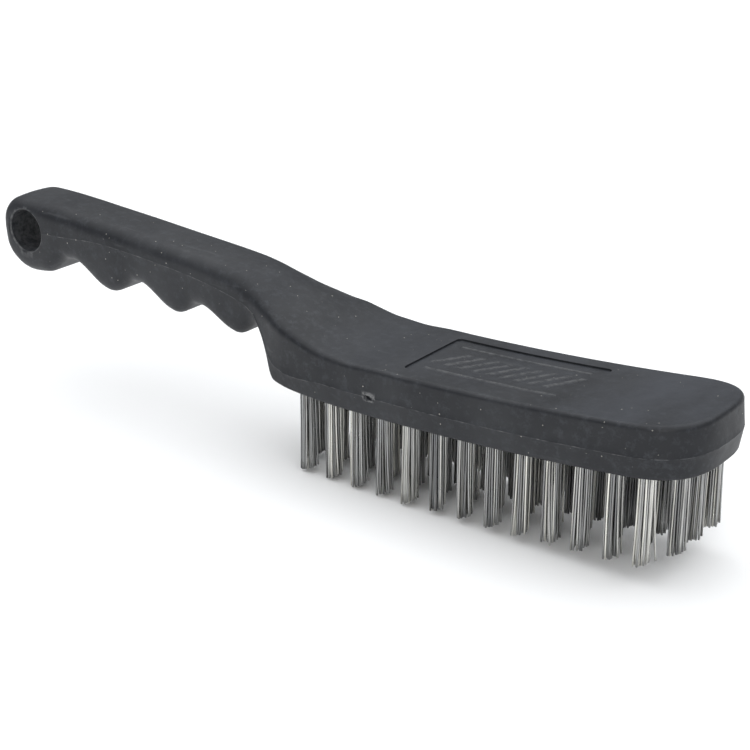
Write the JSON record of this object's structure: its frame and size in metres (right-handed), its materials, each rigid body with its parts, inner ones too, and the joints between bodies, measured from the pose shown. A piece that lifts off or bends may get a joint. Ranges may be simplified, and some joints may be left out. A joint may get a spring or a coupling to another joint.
{
  "type": "wire brush",
  "caption": "Hand wire brush: moulded black plastic handle with finger grooves and a hang hole, in one piece with a curved block set with tufts of straight steel wire",
  "frame": {"origin": "under the middle of the bounding box, on the plane of the lowest wire tips", "axes": "+X from the hang hole to the toe, +Y across the brush, +Z from the wire tips up through the block"},
  "size_m": [0.2376, 0.0371, 0.0555],
  "materials": {
    "black_plastic": "fine moulded satin with scuffs",
    "steel_wire": "drawn steel wire",
    "anchor_steel": "flat drawn wire"
  },
  "bodies": {
    "root": {"handle_block": "black_plastic", "anchors_row_1": "anchor_steel", "anchors_row_2": "anchor_steel", "anchors_row_3": "anchor_steel", "anchors_row_4": "anchor_steel", "tuft_r1_c01": "steel_wire", "tuft_r1_c02": "steel_wire", "tuft_r1_c03": "steel_wire", "tuft_r1_c04": "steel_wire", "tuft_r1_c05": "steel_wire", "tuft_r1_c06": "steel_wire", "tuft_r1_c07": "steel_wire", "tuft_r1_c08": "steel_wire", "tuft_r1_c09": "steel_wire", "tuft_r1_c10": "steel_wire", "tuft_r1_c11": "steel_wire", "tuft_r1_c12": "steel_wire", "tuft_r1_c13": "steel_wire", "tuft_r2_c01": "steel_wire", "tuft_r2_c02": "steel_wire", "tuft_r2_c03": "steel_wire", "tuft_r2_c04": "steel_wire", "tuft_r2_c05": "steel_wire", "tuft_r2_c06": "steel_wire", "tuft_r2_c07": "steel_wire", "tuft_r2_c08": "steel_wire", "tuft_r2_c09": "steel_wire", "tuft_r2_c10": "steel_wire", "tuft_r2_c11": "steel_wire", "tuft_r2_c12": "steel_wire", "tuft_r2_c13": "steel_wire", "tuft_r2_c14": "steel_wire", "tuft_r3_c01": "steel_wire", "tuft_r3_c02": "steel_wire", "tuft_r3_c03": "steel_wire", "tuft_r3_c04": "steel_wire", "tuft_r3_c05": "steel_wire", "tuft_r3_c06": "steel_wire", "tuft_r3_c07": "steel_wire", "tuft_r3_c08": "steel_wire", "tuft_r3_c09": "steel_wire", "tuft_r3_c10": "steel_wire", "tuft_r3_c11": "steel_wire", "tuft_r3_c12": "steel_wire", "tuft_r3_c13": "steel_wire", "tuft_r3_c14": "steel_wire", "tuft_r4_c01": "steel_wire", "tuft_r4_c02": "steel_wire", "tuft_r4_c03": "steel_wire", "tuft_r4_c04": "steel_wire", "tuft_r4_c05": "steel_wire", "tuft_r4_c06": "steel_wire", "tuft_r4_c07": "steel_wire", "tuft_r4_c08": "steel_wire", "tuft_r4_c09": "steel_wire", "tuft_r4_c10": "steel_wire", "tuft_r4_c11": "steel_wire", "tuft_r4_c12": "steel_wire", "tuft_r4_c13": "steel_wire", "tuft_r4_c14": "steel_wire"}
  },
  "joints": []
}
